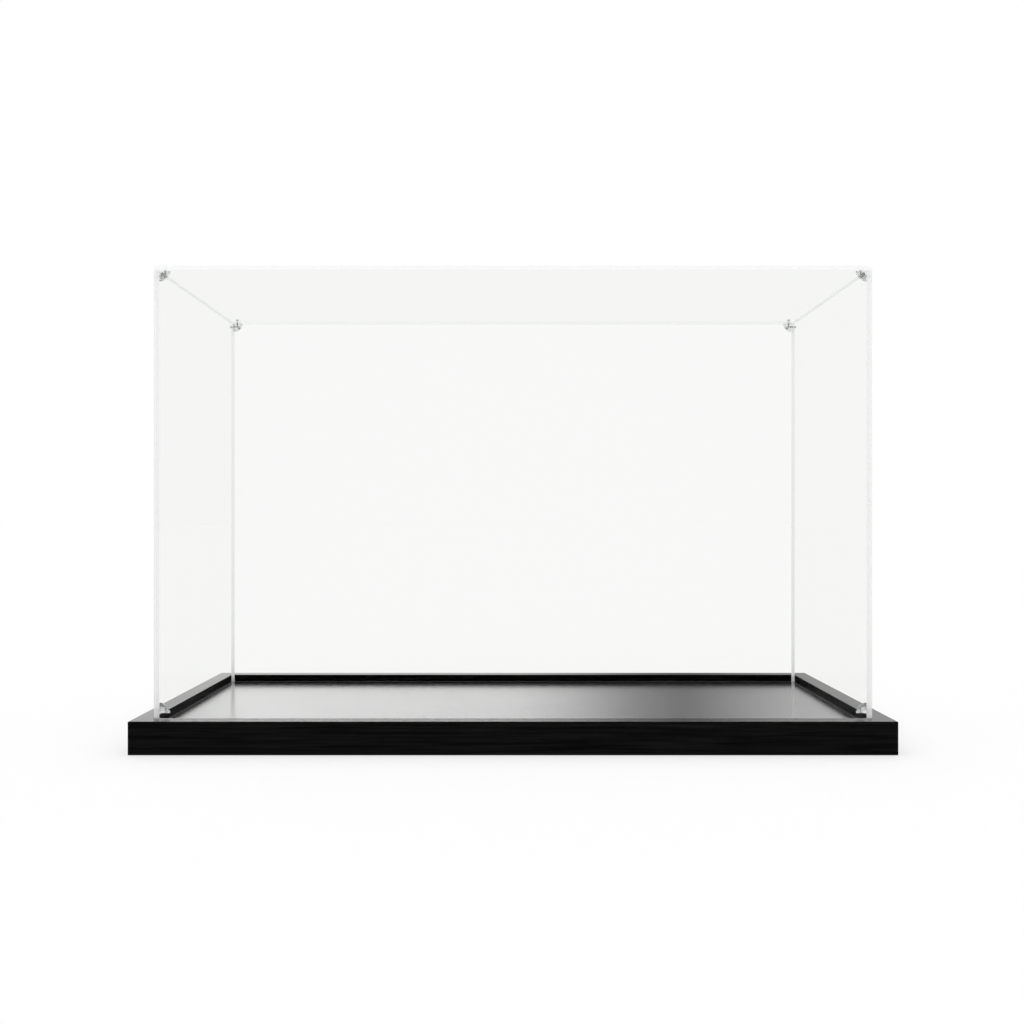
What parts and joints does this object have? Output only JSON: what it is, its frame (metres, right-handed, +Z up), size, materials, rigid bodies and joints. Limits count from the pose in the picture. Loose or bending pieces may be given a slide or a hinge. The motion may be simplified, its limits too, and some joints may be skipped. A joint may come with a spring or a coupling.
{
  "type": "display case",
  "caption": "Low black wood-grain tray base with a glossy floor, under a long clear five-panel cover with small clear corner connectors that lifts straight off.",
  "frame": {"origin": "centre of the base's underside", "axes": "+X along the length to the right, front faces -Y, +Z up"},
  "size_m": [0.46, 0.206, 0.295],
  "materials": {
    "black_wood": "black stained wood grain, satin",
    "board": "raw fibreboard",
    "gloss_sheet": "glossy black acrylic sheet",
    "clear_sheet": "clear polished acrylic sheet",
    "clear_moulding": "clear moulded polycarbonate",
    "screw_steel": "zinc plated steel"
  },
  "bodies": {
    "base": {"rail_front": "black_wood", "rail_back": "black_wood", "rail_left": "black_wood", "rail_right": "black_wood", "base_board": "board", "floor_panel": "gloss_sheet"},
    "cover": {"panel_front": "clear_sheet", "panel_back": "clear_sheet", "panel_left": "clear_sheet", "panel_right": "clear_sheet", "panel_top": "clear_sheet", "connector_top_front_left": "clear_moulding", "connector_top_front_right": "clear_moulding", "connector_top_back_left": "clear_moulding", "connector_top_back_right": "clear_moulding", "connector_lower_front_left": "clear_moulding", "connector_lower_front_right": "clear_moulding", "top_screws": "screw_steel", "lower_screws": "screw_steel"}
  },
  "joints": [
    {"name": "cover_lift", "type": "slide", "parent": "base", "child": "cover", "axis": [0, 0, 1], "range_m": [0, 0.3]}
  ]
}
